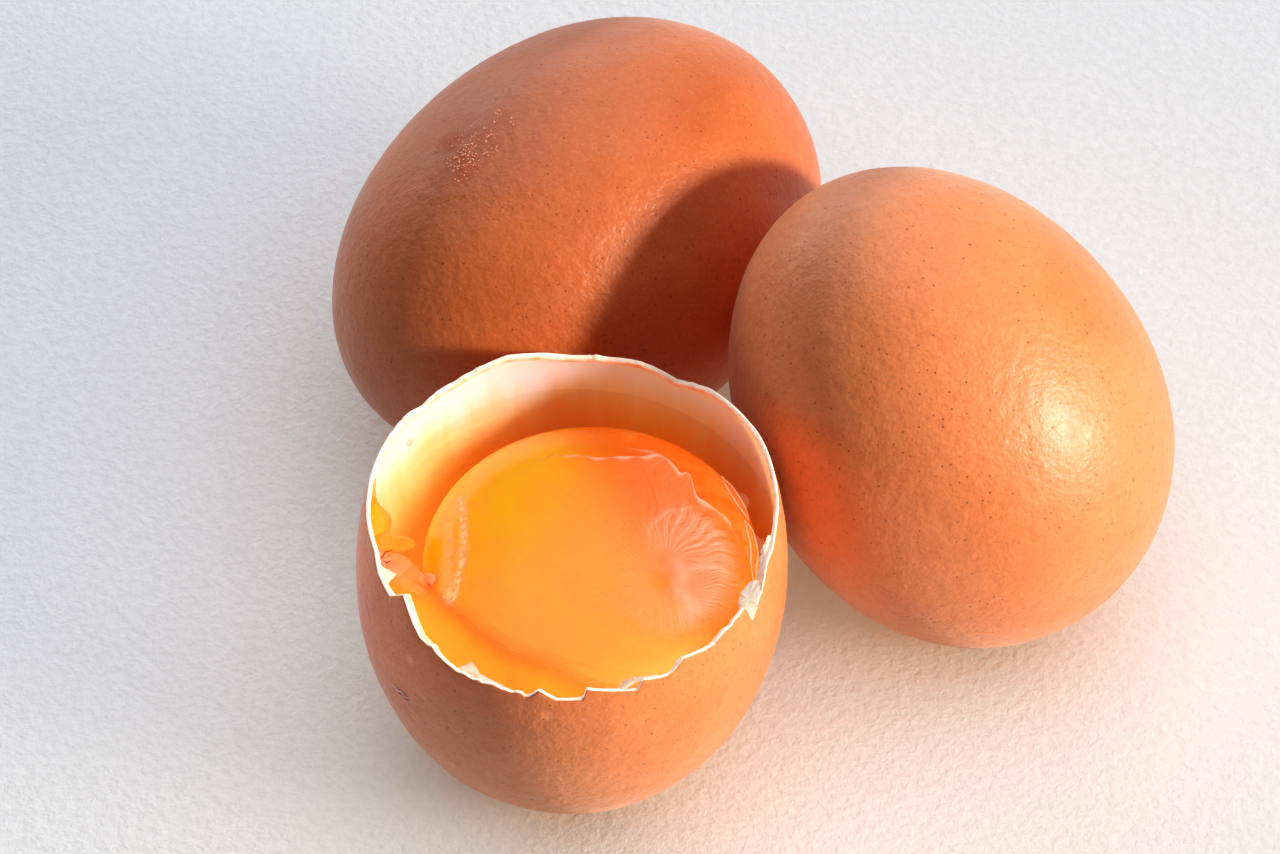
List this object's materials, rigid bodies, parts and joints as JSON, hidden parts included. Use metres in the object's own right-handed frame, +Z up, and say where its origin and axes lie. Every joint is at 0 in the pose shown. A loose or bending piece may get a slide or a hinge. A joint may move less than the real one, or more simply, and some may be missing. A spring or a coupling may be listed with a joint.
{
  "type": "eggs with one cracked open",
  "caption": "Brown hen's eggs lying close together; one is opened at its pointed end and holds its white and yolk in the lower part of a thin, jagged shell.",
  "frame": {"origin": "middle of the group's footprint, on the table it stands on", "axes": "+Z up; +Y from the opened egg at the front to the whole egg lying at the back, the longest side of the group; +X to the whole egg at the right"},
  "size_m": [0.0888, 0.0958, 0.0488],
  "materials": {
    "brown_eggshell": "matt with a soft sheen, fine pores and darker speckles",
    "egg_white": "clear, wet liquid with a mirror-smooth surface",
    "egg_yolk": "opaque orange-yellow, wet and glossy",
    "thick_egg_white": "milky, half see-through and wet, in fine folds",
    "pale_shell_flake": "chalky white, matt",
    "shell_membrane": "damp, fibrous skin, semi-matt"
  },
  "bodies": {
    "root": {"whole_egg_back": "brown_eggshell", "whole_egg_right": "brown_eggshell", "cracked_shell": "brown_eggshell", "egg_white": "egg_white", "egg_yolk": "egg_yolk", "thick_white_film": "thick_egg_white", "chalaza": "thick_egg_white", "yolk_smear": "egg_yolk", "shell_flake_left": "pale_shell_flake", "shell_flake_right_upper": "pale_shell_flake", "shell_flake_right_lower": "pale_shell_flake", "membrane_flap_front": "shell_membrane", "membrane_flap_front_right": "shell_membrane"}
  },
  "joints": []
}
